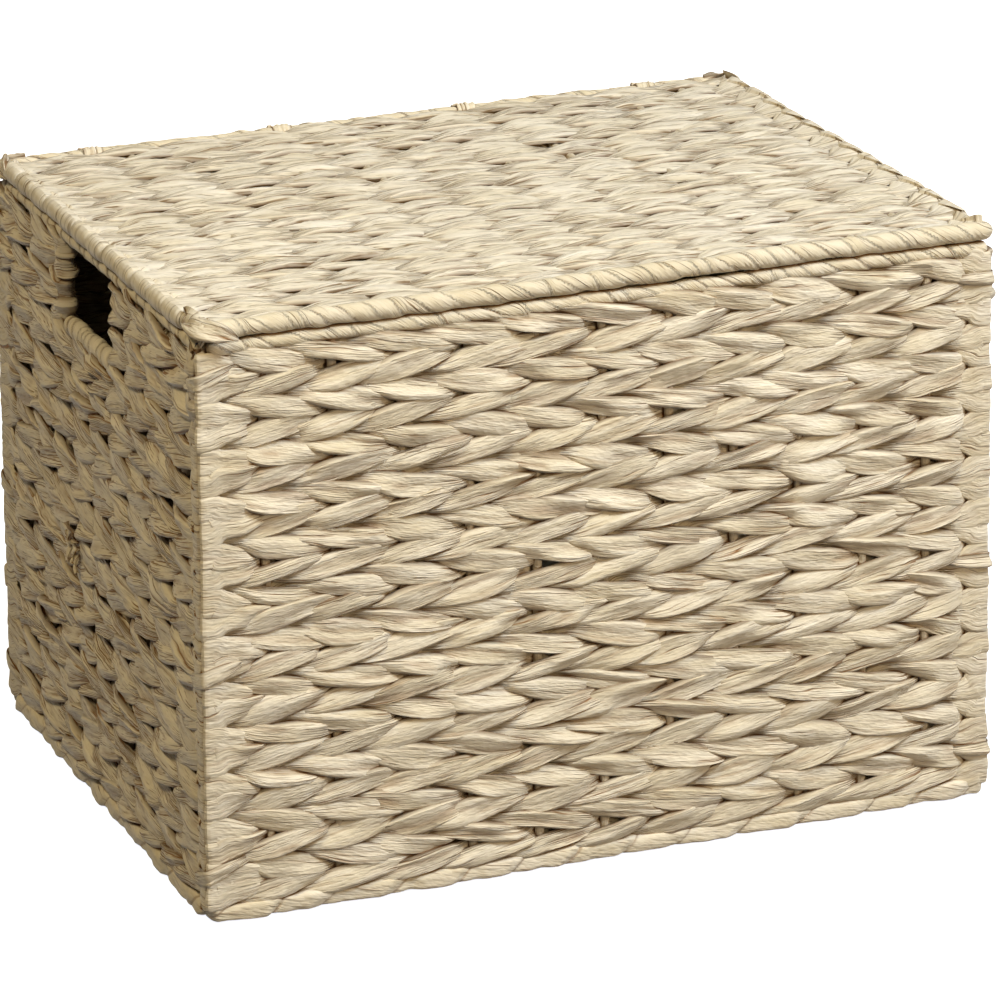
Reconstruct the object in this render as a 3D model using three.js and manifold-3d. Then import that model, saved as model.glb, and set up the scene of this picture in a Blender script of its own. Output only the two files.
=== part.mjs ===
import * as THREE from 'three';
import { mergeVertices } from 'three/addons/utils/BufferGeometryUtils.js';
import Module from 'manifold-3d';

// Storage trunk woven from flat twisted strands on welded wire frames.
// The lid is lashed to the body along its back edge and swings up.
// Millimetres, +Z up. The origin is the middle of the base, on the floor, and the front faces -Y.

// Overall size of the body
const trunkWidth = 480;
const trunkDepth = 368;
const bodyHeight = 340;

// Woven panels: thickness over the crests of their rows, and how many rows each has
const wallThickness = 12;
const lidThickness = 9;
const baseThickness = 8.5;
const furrowDepth = 1.4;
const crestShare = 0.4; // part of a row's pitch that is its flat crest
const frontRows = 24;
const sideRows = 26;
const lidRows = 26;
const baseRows = 26;

// Wires inside the panels
const railDiameter = 5;
const stakeDiameter = 3.5;
const endStakeInset = 12; // from the corner of the trunk to the last stake of a wall
const spacesAcross = 12; // between stakes, over the width of the front, back, lid and base
const spacesAheadOfGrip = 4;
const spacesUnderGrip = 3;
const spacesBehindGrip = 3;

// Hand holes, right under the top rim of both side walls
const gripWidth = 88;
const gripHeight = 44;
const gripSetBack = 12.5; // middle of the hole, behind the middle of the wall
const jambCover = 5; // from the edge of the hole to the stake beside it
const gripWrapDiameter = 11.4;

// Wrapped edges
const topWrapDiameter = 8.5;
const lidWrapDiameter = 8.7;
const bottomWrapHeight = 9.5;
const bottomWrapEase = 2.5; // bevel along its edges
const cornerEase = 3; // how far the crests stop short of the trunk's upright corners

// Lashings: flat strands that tie the corners together and hold the lid
const strandThickness = 1.2;
const tieWidth = 10;
const tieReach = 24; // along each wall from the corner
const lowTieHeight = 30;
const middleTieHeight = 147;
const highTieDrop = 22; // from the top of the body down to the middle of the highest ties
const hingeLashingWidth = 14;
const hingeSpaces = [-4.5, -1.5, 1.5, 4.5]; // stake spaces from the middle, midway between stakes

// Gap between pieces that touch or pass through each other
const clearance = 0.3;

const stakeSides = 6;
const railSides = 8;
const arcSteps = 8; // facets on half a round wrapping

// Places that follow from the sizes above
const halfWidth = trunkWidth / 2;
const halfDepth = trunkDepth / 2;
const rodInset = wallThickness / 2;
const stakeRoom = stakeDiameter / 2 + clearance;
const railRoom = railDiameter / 2 + clearance;
const stakePitch = trunkWidth / spacesAcross;
const topRodHeight = bodyHeight - topWrapDiameter / 2;
const bottomRodHeight = bottomWrapHeight / 2;
const baseRodInset = rodInset + railDiameter + 2 * clearance;
const bottomWrapWall = (bottomWrapHeight - 2 * railRoom) / 2;
const bottomWrapDepth = baseRodInset + railRoom + bottomWrapWall;
const lidRodHeight = bodyHeight + clearance + lidWrapDiameter / 2;
const tieHeights = { low: lowTieHeight, middle: middleTieHeight, high: bodyHeight - highTieDrop };
const weaveBottom = bottomWrapHeight + clearance;
const weaveTop = bodyHeight - topWrapDiameter - clearance;
const gripSill = bodyHeight - topWrapDiameter - gripHeight;
const gripRodHeight = gripSill - gripWrapDiameter / 2;
const hingeRingRoom = (Math.max(topWrapDiameter, lidWrapDiameter) / 2 + clearance) / Math.cos(Math.PI / arcSteps / 2);
const hingeRingRadius = hingeRingRoom + strandThickness;

const strandLook = { color: 0xd8cba6, roughness: 0.78, metalness: 0 };
const wrapLook = { color: 0xcdbf98, roughness: 0.74, metalness: 0 };
const tieLook = { color: 0xc2b189, roughness: 0.76, metalness: 0 };
const wireLook = { color: 0x2c2a28, roughness: 0.45, metalness: 0.6 };

const wasm = await Module();
wasm.setup();

// Turns a closed geometry into a solid that can be joined and cut
function solidFrom(geometry) {
  const bare = geometry.clone();
  bare.deleteAttribute('normal');
  bare.deleteAttribute('uv');
  const merged = mergeVertices(bare);
  const mesh = new wasm.Mesh({
    numProp: 3,
    vertProperties: new Float32Array(merged.attributes.position.array),
    triVerts: new Uint32Array(merged.index.array),
  });
  return new wasm.Manifold(mesh);
}

function geometryFrom(solid) {
  const { vertProperties, triVerts } = solid.getMesh();
  const geometry = new THREE.BufferGeometry();
  geometry.setAttribute('position', new THREE.BufferAttribute(new Float32Array(vertProperties), 3));
  geometry.setIndex(new THREE.BufferAttribute(new Uint32Array(triVerts), 1));
  return geometry;
}

function cut(geometry, cutters) {
  let solid = solidFrom(geometry);
  for (const cutter of cutters) {
    solid = solid.subtract(solidFrom(cutter));
  }
  return geometryFrom(solid);
}

function join(geometries) {
  let solid = solidFrom(geometries[0]);
  for (const geometry of geometries.slice(1)) {
    solid = solid.add(solidFrom(geometry));
  }
  return geometryFrom(solid);
}

function addPiece(parent, name, geometry, look) {
  const flat = geometry.index ? geometry.toNonIndexed() : geometry;
  flat.computeVertexNormals();
  const mesh = new THREE.Mesh(flat, new THREE.MeshStandardMaterial({ ...look, flatShading: true }));
  mesh.name = name;
  parent.add(mesh);
  return mesh;
}

// A block between two opposite corners
function block(low, high) {
  const size = high.map((value, axis) => value - low[axis]);
  const geometry = new THREE.BoxGeometry(...size);
  geometry.translate(...low.map((value, axis) => value + size[axis] / 2));
  return geometry;
}

// A straight wire between two points
function wire(from, to, diameter, sides) {
  const start = new THREE.Vector3(...from);
  const run = new THREE.Vector3(...to).sub(start);
  const geometry = new THREE.CylinderGeometry(diameter / 2, diameter / 2, run.length(), sides);
  const turn = new THREE.Quaternion().setFromUnitVectors(new THREE.Vector3(0, 1, 0), run.clone().normalize());
  geometry.applyQuaternion(turn);
  const middle = start.addScaledVector(run, 0.5);
  geometry.translate(middle.x, middle.y, middle.z);
  return geometry;
}

// A prism along X from a section in Y and Z, whose ends stand halfLengthAt(y) from the middle
function prismAlongX(section, halfLengthAt, hole) {
  const shape = new THREE.Shape(section);
  if (hole) {
    shape.holes.push(new THREE.Path(hole));
  }
  const geometry = new THREE.ExtrudeGeometry(shape, { depth: 1, bevelEnabled: false });
  const position = geometry.attributes.position;
  for (let i = 0; i < position.count; i += 1) {
    const y = position.getX(i);
    const z = position.getY(i);
    const side = position.getZ(i) > 0.5 ? 1 : -1;
    position.setXYZ(i, side * halfLengthAt(y), y, z);
  }
  return geometry;
}

// Half the length of a wrapped edge or wall at a depth from its outer face, mitred at both corners
function mitred(halfLength) {
  return (depth) => halfLength - Math.max(depth, cornerEase - depth) - clearance / 2;
}

// Outline of a panel seen along its rows: a flat crest on each row, a furrow between two
function ribbedOutline(low, high, thickness, rows) {
  const pitch = (high - low) / rows;
  const crest = thickness / 2;
  const furrow = crest - furrowDepth;
  const face = [];
  for (let row = 0; row < rows; row += 1) {
    const middle = low + (row + 0.5) * pitch;
    face.push([middle - pitch / 2, furrow]);
    face.push([middle - (crestShare * pitch) / 2, crest]);
    face.push([middle + (crestShare * pitch) / 2, crest]);
  }
  face.push([high, furrow]);
  const otherFace = face.map(([along, across]) => [along, -across]).reverse();
  return [...face, ...otherFace];
}

function arc(centreY, centreZ, radius, fromAngle, toAngle, steps) {
  const points = [];
  for (let step = 0; step <= steps; step += 1) {
    const angle = fromAngle + ((toAngle - fromAngle) * step) / steps;
    points.push(new THREE.Vector2(centreY + radius * Math.cos(angle), centreZ + radius * Math.sin(angle)));
  }
  return points;
}

// Section of a strand wound round a rod, open along the line where the stakes come in
function openWrapSection(centreY, centreZ, diameter, openingAngle) {
  const radius = diameter / 2;
  const boreRadius = railRoom / Math.cos(Math.PI / arcSteps / 2);
  const outerEdge = Math.asin(stakeRoom / radius);
  const innerEdge = Math.asin(stakeRoom / boreRadius);
  const turn = 2 * Math.PI;
  return [
    ...arc(centreY, centreZ, radius, openingAngle + outerEdge, openingAngle + turn - outerEdge, 2 * arcSteps - 4),
    ...arc(centreY, centreZ, boreRadius, openingAngle + turn - innerEdge, openingAngle + innerEdge, arcSteps),
  ];
}

// Section of the bottom edge: it binds the wall's lowest rod and the base's rod side by side
function bottomWrapSection() {
  const boreLow = bottomRodHeight - railRoom;
  const boreHigh = bottomRodHeight + railRoom;
  const boreOuter = rodInset - railRoom;
  const boreInner = baseRodInset + railRoom;
  const points = [
    [rodInset - stakeRoom, bottomWrapHeight],
    [bottomWrapEase, bottomWrapHeight],
    [0, bottomWrapHeight - bottomWrapEase],
    [0, bottomWrapEase],
    [bottomWrapEase, 0],
    [bottomWrapDepth - bottomWrapEase, 0],
    [bottomWrapDepth, bottomWrapEase],
    [bottomWrapDepth, bottomWrapHeight - bottomWrapEase],
    [bottomWrapDepth - bottomWrapEase, bottomWrapHeight],
    [rodInset + stakeRoom, bottomWrapHeight],
    [rodInset + stakeRoom, boreHigh],
    [boreInner, boreHigh],
    [boreInner, boreLow],
    [boreOuter, boreLow],
    [boreOuter, boreHigh],
    [rodInset - stakeRoom, boreHigh],
  ];
  return points.map(([y, z]) => new THREE.Vector2(y, z));
}

// The loop of a corner tie seen from above, with the corner at the origin and a wall along each axis
function tieLoop(height, room) {
  const angled = (low, reach, thickness) => [
    [low, low],
    [reach, low],
    [reach, thickness],
    [thickness, thickness],
    [thickness, reach],
    [low, reach],
  ].map(([x, y]) => new THREE.Vector2(x, y));
  const shape = new THREE.Shape(angled(-room, tieReach + room, wallThickness + room));
  const inset = strandThickness + room;
  shape.holes.push(new THREE.Path(angled(inset, tieReach - inset, wallThickness - inset)));
  const depth = tieWidth + 2 * room;
  const geometry = new THREE.ExtrudeGeometry(shape, { depth, bevelEnabled: false });
  geometry.translate(0, 0, height - depth / 2);
  return geometry;
}

// Points that split a run into equal spaces, without its two ends
function between(from, to, spaces) {
  return Array.from({ length: spaces - 1 }, (_, i) => from + ((to - from) * (i + 1)) / spaces);
}

// The room that the corner ties take at both ends of a wall
function tieRooms(halfLength) {
  const rooms = [];
  for (const height of Object.values(tieHeights)) {
    rooms.push(tieLoop(height, clearance).translate(-halfLength, 0, 0));
    rooms.push(tieLoop(height, clearance).rotateZ(Math.PI / 2).translate(halfLength, 0, 0));
  }
  return rooms;
}

// One wall, built along X with its outer face at Y = 0 and its inside towards +Y
function addWall(parent, side, halfLength, rows, stakes, grip) {
  const endStakes = [-1, 1].map((end) => end * (halfLength - endStakeInset));
  const isShort = (x) => grip !== null && Math.abs(x - grip.middle) < gripWidth / 2;
  const stakeTop = (x) => (isShort(x) ? gripRodHeight : topRodHeight);

  const outline = ribbedOutline(weaveBottom, weaveTop, wallThickness, rows);
  const section = outline.map(([z, across]) => new THREE.Vector2(rodInset - across, z));
  const cutters = tieRooms(halfLength);
  for (const x of [...endStakes, ...stakes]) {
    cutters.push(block(
      [x - stakeRoom, rodInset - stakeRoom, bottomRodHeight],
      [x + stakeRoom, rodInset + stakeRoom, stakeTop(x)],
    ));
  }
  const wires = [bottomRodHeight, topRodHeight].map((z) => wire(
    [endStakes[0] - stakeDiameter / 2, rodInset, z],
    [endStakes[1] + stakeDiameter / 2, rodInset, z],
    railDiameter,
    railSides,
  ));
  for (const x of [...endStakes, ...stakes]) {
    wires.push(wire([x, rodInset, bottomRodHeight], [x, rodInset, stakeTop(x)], stakeDiameter, stakeSides));
  }

  if (grip !== null) {
    const jamb = gripWidth / 2 + jambCover;
    cutters.push(block(
      [grip.middle - gripWidth / 2, -clearance, gripRodHeight - gripWrapDiameter / 2 - clearance],
      [grip.middle + gripWidth / 2, wallThickness + clearance, bodyHeight],
    ));
    cutters.push(block(
      [grip.middle - jamb - stakeRoom, rodInset - railRoom, gripRodHeight - railRoom],
      [grip.middle + jamb + stakeRoom, rodInset + railRoom, gripRodHeight + railRoom],
    ));
    wires.push(wire(
      [grip.middle - jamb, rodInset, gripRodHeight],
      [grip.middle + jamb, rodInset, gripRodHeight],
      railDiameter,
      railSides,
    ));
    const sillSection = openWrapSection(rodInset, gripRodHeight, gripWrapDiameter, -Math.PI / 2);
    const sill = addPiece(parent, `${side}_grip_wrap`, prismAlongX(sillSection, () => gripWidth / 2 - clearance), wrapLook);
    sill.position.x = grip.middle;
  }
  if (side === 'back') {
    for (const spaces of hingeSpaces) {
      const x = spaces * stakePitch;
      const halfNotch = hingeLashingWidth / 2 + clearance;
      cutters.push(block(
        [x - halfNotch, -clearance, topRodHeight - hingeRingRadius - clearance],
        [x + halfNotch, wallThickness + clearance, bodyHeight],
      ));
    }
  }

  addPiece(parent, `${side}_wall_weave`, cut(prismAlongX(section, mitred(halfLength)), cutters), strandLook);
  addPiece(parent, `${side}_wall_wire_frame`, join(wires), wireLook);

  const topSection = openWrapSection(rodInset, topRodHeight, topWrapDiameter, -Math.PI / 2);
  addPiece(parent, `${side}_top_rim_wrap`, prismAlongX(topSection, mitred(halfLength)), wrapLook);

  let bottomWrap = prismAlongX(bottomWrapSection(), mitred(halfLength));
  if (side === 'front' || side === 'back') {
    const baseStakeHoles = between(-halfWidth, halfWidth, spacesAcross).map((x) => block(
      [x - stakeRoom, baseRodInset, bottomRodHeight - stakeRoom],
      [x + stakeRoom, bottomWrapDepth + clearance, bottomRodHeight + stakeRoom],
    ));
    bottomWrap = cut(bottomWrap, baseStakeHoles);
  }
  addPiece(parent, `${side}_bottom_rim_wrap`, bottomWrap, wrapLook);
}

const stakesAcross = between(-halfWidth, halfWidth, spacesAcross);
const frontJamb = gripSetBack - gripWidth / 2 - jambCover;
const backJamb = gripSetBack + gripWidth / 2 + jambCover;
const sideStakes = [
  ...between(-halfDepth, frontJamb, spacesAheadOfGrip),
  frontJamb,
  ...between(frontJamb, backJamb, spacesUnderGrip),
  backJamb,
  ...between(backJamb, halfDepth, spacesBehindGrip),
];

// Each wall's place: how far it is turned about Z, and which way its own X runs along the trunk
const wallPlaces = {
  front: { turn: 0, x: 0, y: -halfDepth },
  right: { turn: Math.PI / 2, x: halfWidth, y: 0, along: 1 },
  back: { turn: Math.PI, x: 0, y: halfDepth },
  left: { turn: -Math.PI / 2, x: -halfWidth, y: 0, along: -1 },
};

function placedGroup(place) {
  const group = new THREE.Group();
  group.position.set(place.x, place.y, 0);
  group.rotation.z = place.turn;
  return group;
}

function addBody(trunk) {
  for (const [side, place] of Object.entries(wallPlaces)) {
    const wall = placedGroup(place);
    if (place.along) {
      const stakes = sideStakes.map((y) => place.along * y);
      addWall(wall, side, halfDepth, sideRows, stakes, { middle: place.along * gripSetBack });
    } else {
      addWall(wall, side, halfWidth, frontRows, stakesAcross, null);
    }
    trunk.add(wall);
  }
}

// A flat panel whose rows run along X and whose stakes run along Y, with a rod all round
function flatPanelWires(inset) {
  const x = halfWidth - inset;
  const y = halfDepth - inset;
  const wires = [];
  for (const end of [-1, 1]) {
    wires.push(wire([-x, end * y, 0], [x, end * y, 0], railDiameter, railSides));
    wires.push(wire([end * x, -y, 0], [end * x, y, 0], railDiameter, railSides));
  }
  for (const stake of stakesAcross) {
    wires.push(wire([stake, -y, 0], [stake, y, 0], stakeDiameter, stakeSides));
  }
  return join(wires);
}

function flatPanelWeave(edgeInset, thickness, rows, notches) {
  const x = halfWidth - edgeInset;
  const y = halfDepth - edgeInset;
  const section = ribbedOutline(-y, y, thickness, rows).map(([along, across]) => new THREE.Vector2(along, across));
  const channels = stakesAcross.map((stake) => block(
    [stake - stakeRoom, -halfDepth, -stakeRoom],
    [stake + stakeRoom, halfDepth, stakeRoom],
  ));
  return cut(prismAlongX(section, () => x), [...channels, ...notches]);
}

function addBase(trunk) {
  const base = new THREE.Group();
  base.position.z = bottomRodHeight;
  const edgeInset = bottomWrapDepth + clearance;
  addPiece(base, 'base_weave', flatPanelWeave(edgeInset, baseThickness, baseRows, []), strandLook);
  addPiece(base, 'base_wire_frame', flatPanelWires(baseRodInset), wireLook);
  trunk.add(base);
}

// The lid's own group sits at the height of its rods; it turns about the one along its back edge
function addLid(trunk) {
  const lid = new THREE.Group();
  lid.position.z = lidRodHeight;
  const edgeInset = rodInset + lidWrapDiameter / 2 + clearance;
  const notchDepth = rodInset + hingeRingRadius + 2 * clearance;
  const halfNotch = hingeLashingWidth / 2 + clearance;
  const notches = hingeSpaces.map((spaces) => block(
    [spaces * stakePitch - halfNotch, halfDepth - notchDepth, -lidThickness],
    [spaces * stakePitch + halfNotch, halfDepth, lidThickness],
  ));
  addPiece(lid, 'lid_weave', flatPanelWeave(edgeInset, lidThickness, lidRows, notches), strandLook);
  addPiece(lid, 'lid_wire_frame', flatPanelWires(rodInset), wireLook);
  for (const [side, place] of Object.entries(wallPlaces)) {
    const edge = placedGroup(place);
    const section = openWrapSection(rodInset, 0, lidWrapDiameter, 0);
    const halfLength = place.along ? halfDepth : halfWidth;
    addPiece(edge, `lid_${side}_edge_wrap`, prismAlongX(section, mitred(halfLength)), wrapLook);
    lid.add(edge);
  }
  trunk.add(lid);
}

function stadium(radius) {
  return [
    ...arc(rodInset, topRodHeight, radius, -Math.PI, 0, arcSteps),
    ...arc(rodInset, lidRodHeight, radius, 0, Math.PI, arcSteps),
  ];
}

// Loops round the lid's back rod and the body's back rim, which the lid turns in
function addHingeLashings(trunk) {
  const names = ['outer_left', 'inner_left', 'inner_right', 'outer_right'];
  const back = placedGroup(wallPlaces.back);
  names.forEach((name, i) => {
    const loop = prismAlongX(stadium(hingeRingRadius), () => hingeLashingWidth / 2, stadium(hingeRingRoom));
    const lashing = addPiece(back, `hinge_lashing_${name}`, loop, tieLook);
    lashing.position.x = -hingeSpaces[i] * stakePitch;
  });
  trunk.add(back);
}

function addCornerTies(trunk) {
  const corners = {
    front_left: { x: -halfWidth, y: -halfDepth, turn: 0 },
    front_right: { x: halfWidth, y: -halfDepth, turn: Math.PI / 2 },
    back_right: { x: halfWidth, y: halfDepth, turn: Math.PI },
    back_left: { x: -halfWidth, y: halfDepth, turn: -Math.PI / 2 },
  };
  for (const [corner, place] of Object.entries(corners)) {
    const group = placedGroup(place);
    for (const [level, height] of Object.entries(tieHeights)) {
      addPiece(group, `corner_tie_${corner}_${level}`, tieLoop(height, 0), tieLook);
    }
    trunk.add(group);
  }
}

const trunk = new THREE.Group();
addBody(trunk);
addBase(trunk);
addLid(trunk);
addHingeLashings(trunk);
addCornerTies(trunk);

export default trunk;
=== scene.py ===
import math

import bpy
import numpy as np
from mathutils import Matrix, Vector


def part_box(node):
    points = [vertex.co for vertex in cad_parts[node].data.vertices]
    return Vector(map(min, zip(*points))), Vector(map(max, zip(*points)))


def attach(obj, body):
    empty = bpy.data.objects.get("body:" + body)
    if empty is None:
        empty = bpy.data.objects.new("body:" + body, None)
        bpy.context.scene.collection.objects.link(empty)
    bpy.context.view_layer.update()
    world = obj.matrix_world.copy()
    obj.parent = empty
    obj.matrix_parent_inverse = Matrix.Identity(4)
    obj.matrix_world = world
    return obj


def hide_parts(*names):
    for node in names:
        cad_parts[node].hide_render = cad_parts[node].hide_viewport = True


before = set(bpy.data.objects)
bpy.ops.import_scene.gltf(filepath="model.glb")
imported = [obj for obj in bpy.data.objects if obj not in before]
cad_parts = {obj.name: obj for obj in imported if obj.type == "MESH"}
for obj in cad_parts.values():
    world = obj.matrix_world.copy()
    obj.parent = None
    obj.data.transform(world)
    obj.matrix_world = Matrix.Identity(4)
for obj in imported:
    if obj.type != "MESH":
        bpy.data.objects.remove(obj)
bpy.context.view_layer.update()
print("frame loaded")

mm = 0.001
tau = 2 * math.pi


def linear(hexColour):
    values = [int(hexColour[i : i + 2], 16) / 255 for i in (1, 3, 5)]
    return [v / 12.92 if v <= 0.04045 else ((v + 0.055) / 1.055) ** 2.4 for v in values] + [1.0]


def addNode(tree, kind, settings, inputs, output=None):
    # one node with its settings, values and links; gives the output asked for, or else the node
    node = tree.nodes.new("ShaderNode" + kind)
    for name, value in settings.items():
        setattr(node, name, value)
    for socket, value in inputs.items():
        if isinstance(value, bpy.types.NodeSocket):
            tree.links.new(value, node.inputs[socket])
        else:
            node.inputs[socket].default_value = value
    return node if output is None else node.outputs[output]


def newMaterial(name):
    material = bpy.data.materials.new(name)
    material.use_nodes = True
    material.node_tree.nodes.clear()
    return material, material.node_tree


# Twisted paper cord, opened flat and woven: a dry matt sheet, cream with straw patches and fine fibres along
# it;
# painted shade in the sharp creases where it was gathered, in folds, pockets and beside other strands, a
# painted highlight on ridges
paperCord = {
    "cream": "#f0e4ce",
    "straw": "#d2c098",
    # painted colours: a highlight on the ridges, shade in the creases, folds and contacts, and shade in the
    # pockets
    "ridgeHighlight": "#f5ecda",
    "creaseShadeBrown": "#85550f",
    "pocketShadeBrown": "#5e401a",
    "roughness": 0.78,
    "ior": 1.5,
    "bump": 1.0,
    "bumpHeight": 0.9,  # mm
    "fibreWidth": 0.7,  # mm, drawn coarser than real fibres so that they show
    "fibreLength": 8,
    "patchWidth": 9,
    "patchLength": 50,
    "crumple": 6.5,
    "crinkle": 2.4,
    # spacing and length in mm, half width in spacings, and the levels where a line begins and is full
    "creases": {"spacing": 2.7, "halfWidth": 0.17, "length": 30,
                "begins": 0.57, "full": 0.74, "shade": 0.95},
    "wrinkles": {"spacing": 1.5, "halfWidth": 0.27, "length": 10,
                 "begins": 0.56, "full": 0.8, "shade": 0.7},
    "wander": 3.2,  # how far the lines stray, in spacings
    "wanderWidth": 7,
    "wanderLength": 45,
    "gatheredLines": 0.65,  # how many more of them where it is gathered narrow
    "contact": 2.6,  # mm, how near another strand lies for the painted shade beside it
    "contactShade": 0.9,
    # shares of the painted shade in the folds, the painted highlight on the ridges and the painted shade in
    # the pockets
    "foldShade": 0.5,
    "ridgeHighlightShare": 0.4,
    "tuckShade": 0.85,
}


def makePaperCord(name, look):
    material, tree = newMaterial(name)
    grain = addNode(tree, "Attribute", {"attribute_name": "grain"}, {}, "Vector")
    # the second attribute holds painted shade where it is tucked under, the strand's own tint, and painted
    # shade and highlight of its folds
    shadeAndTint = addNode(tree, "Attribute", {"attribute_name": "shadeAndTint"}, {}, "Vector")
    gathered = addNode(tree, "Attribute", {"attribute_name": "gathered"}, {}, "Fac")
    along, across, own = addNode(tree, "SeparateXYZ", {}, {"Vector": grain}).outputs
    tuck, tint, fold = addNode(tree, "SeparateXYZ", {}, {"Vector": shadeAndTint}).outputs

    def pattern(texture, length, width, shift, **inputs):
        # a texture stretched to that size in mm, along the strand and across it
        place = addNode(tree, "VectorMath", {"operation": "MULTIPLY_ADD"},
                        {0: grain, 1: (1 / length, 1 / width, 1.0), 2: (shift, shift, shift)}, 0)
        return addNode(tree, texture, {}, {"Vector": place, "Scale": 1.0, **inputs}, 0)

    def foldLines(lines, shift):
        # lines run on side by side along the strand, and each comes and goes
        stray = pattern("TexNoise", look["wanderLength"], look["wanderWidth"], 7.7 + shift, Detail=1.0)
        count = addNode(tree, "Math", {"operation": "DIVIDE"}, {0: across, 1: lines["spacing"]}, 0)
        count = addNode(tree, "Math", {"operation": "MULTIPLY_ADD"},
                        {0: stray, 1: look["wander"], 2: count}, 0)
        line = addNode(tree, "Math", {"operation": "FLOOR"}, {0: count}, 0)
        offLine = count
        for operation, inputs in (("FRACT", {}), ("SUBTRACT", {1: 0.5}), ("ABSOLUTE", {})):
            offLine = addNode(tree, "Math", {"operation": operation}, {0: offLine, **inputs}, 0)
        linePlace = addNode(tree, "CombineXYZ", {}, {
            "X": addNode(tree, "Math", {"operation": "DIVIDE"}, {0: along, 1: lines["length"]}, 0),
            "Y": addNode(tree, "Math", {"operation": "MULTIPLY_ADD"}, {0: line, 1: 3.7, 2: shift}, 0),
            "Z": own,
        }, "Vector")
        depth = addNode(tree, "TexNoise", {}, {"Vector": linePlace, "Scale": 1.0, "Detail": 1.0}, "Fac")
        depth = addNode(tree, "Math", {"operation": "MULTIPLY_ADD"},
                        {0: gathered, 1: look["gatheredLines"], 2: depth}, 0)
        depth = addNode(tree, "MapRange", {}, {
            "Value": depth, "From Min": lines["begins"], "From Max": lines["full"],
        }, "Result")
        sharp = addNode(tree, "MapRange", {}, {
            "Value": offLine, "From Max": lines["halfWidth"], "To Min": 1.0, "To Max": 0.0,
        }, "Result")
        return addNode(tree, "Math", {"operation": "MULTIPLY"}, {0: sharp, 1: depth}, 0)

    crease = foldLines(look["creases"], 0.0)
    wrinkle = foldLines(look["wrinkles"], 5.3)
    fibre = pattern("TexNoise", look["fibreLength"], look["fibreWidth"], 3.1, Detail=2.0)
    patch = pattern("TexNoise", look["patchLength"], look["patchWidth"], 21.9, Detail=1.0)
    crumple = pattern("TexVoronoi", look["crumple"] * 2.0, look["crumple"] * 0.6, 31.3)
    crinkle = pattern("TexVoronoi", look["crinkle"] * 1.7, look["crinkle"] * 0.6, 11.7)

    # how straw yellow it is: from strand to strand, in patches and from fibre to fibre
    tone = 0.0
    tones = ((tint, 0.0, 1.0, 0.25), (patch, 0.3, 0.7, 0.35), (fibre, 0.35, 0.7, 0.16))
    for value, low, high, share in tones:
        part = addNode(tree, "MapRange", {}, {
            "Value": value, "From Min": low, "From Max": high, "To Max": share,
        }, "Result")
        tone = addNode(tree, "Math", {"operation": "ADD"}, {0: part, 1: tone}, 0)
    colour = addNode(tree, "Mix", {"data_type": "RGBA"}, {
        "Factor": tone, "A": linear(look["cream"]), "B": linear(look["straw"]),
    }, "Result")

    # then painted shade: brown lines in the creases and folds, a painted highlight on the ridges, a thin
    # painted shadow where another strand lies near, and painted shade in the pockets
    clear = addNode(tree, "AmbientOcclusion", {"samples": 8}, {"Distance": look["contact"] * mm}, "AO")
    for value, low, high, share, paint in (
        (crease, 0.0, 1.0, look["creases"]["shade"], look["creaseShadeBrown"]),
        (wrinkle, 0.0, 1.0, look["wrinkles"]["shade"], look["creaseShadeBrown"]),
        (fold, 0.0, 1.0, look["foldShade"], look["creaseShadeBrown"]),
        (fold, 0.0, -1.0, look["ridgeHighlightShare"], look["ridgeHighlight"]),
        (clear, 0.75, 0.3, look["contactShade"], look["creaseShadeBrown"]),
        (tuck, 0.0, 1.0, look["tuckShade"], look["pocketShadeBrown"]),
    ):
        part = addNode(tree, "MapRange", {}, {
            "Value": value, "From Min": low, "From Max": high, "To Max": share,
        }, "Result")
        colour = addNode(tree, "Mix", {"data_type": "RGBA"}, {
            "Factor": part, "A": colour, "B": linear(paint),
        }, "Result")

    height = 0.0
    for value, share in ((fibre, 0.2), (crease, -0.55), (wrinkle, -0.35), (crumple, 0.5), (crinkle, 0.4)):
        height = addNode(tree, "Math", {"operation": "MULTIPLY_ADD"}, {0: value, 1: share, 2: height}, 0)
    bump = addNode(tree, "Bump", {}, {
        "Height": height, "Strength": look["bump"], "Distance": look["bumpHeight"] * mm,
    }, "Normal")
    shader = addNode(tree, "BsdfPrincipled", {}, {
        "Base Color": colour, "Roughness": look["roughness"], "IOR": look["ior"], "Normal": bump,
    }, "BSDF")
    addNode(tree, "OutputMaterial", {}, {"Surface": shader})
    return material


paperCordMaterial = makePaperCord("wovenPaperCord", paperCord)
# Wound tight round a rod it is smoother, with fewer creases
woundCordMaterial = makePaperCord("woundPaperCord", dict(
    paperCord, cream="#eaddc4", crumple=9,
    creases=dict(paperCord["creases"], full=0.66),
    wrinkles=dict(paperCord["wrinkles"], shade=0.8)))
# The lid's copy is a little paler and cooler, painted light for the top that faces the lamps
lidCordMaterial = makePaperCord("lidPaperCordPaintedLight", dict(
    paperCord, cream="#f1e7d5", straw="#dac9a5", ridgeHighlight="#f6eee0", creaseShadeBrown="#7a5b28",
    gatheredLines=0.43, contact=1.7, contactShade=1.0, bump=0.85,
    creases={"spacing": 3.2, "halfWidth": 0.33, "length": 24, "begins": 0.55, "full": 0.65, "shade": 0.9},
    wrinkles={"spacing": 1.8, "halfWidth": 0.27, "length": 10, "begins": 0.55, "full": 0.67, "shade": 0.8}))
# The side walls' copy has more and darker painted shade in its creases and beside other strands
sideCordMaterial = makePaperCord("sidePaperCordMoreShade", dict(
    paperCord, gatheredLines=0.8, contactShade=1.0,
    creases=dict(paperCord["creases"], halfWidth=0.2, begins=0.54, full=0.66, shade=1.0),
    wrinkles=dict(paperCord["wrinkles"], begins=0.53, full=0.68, shade=0.95)))


# Painted steel wire: dark satin paint over drawn wire, scuffed lighter in places
wirePaint = {"paint": "#1f1c1a", "scuff": "#4a4440", "roughness": 0.38, "ior": 1.5, "scuffSize": 6}


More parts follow.
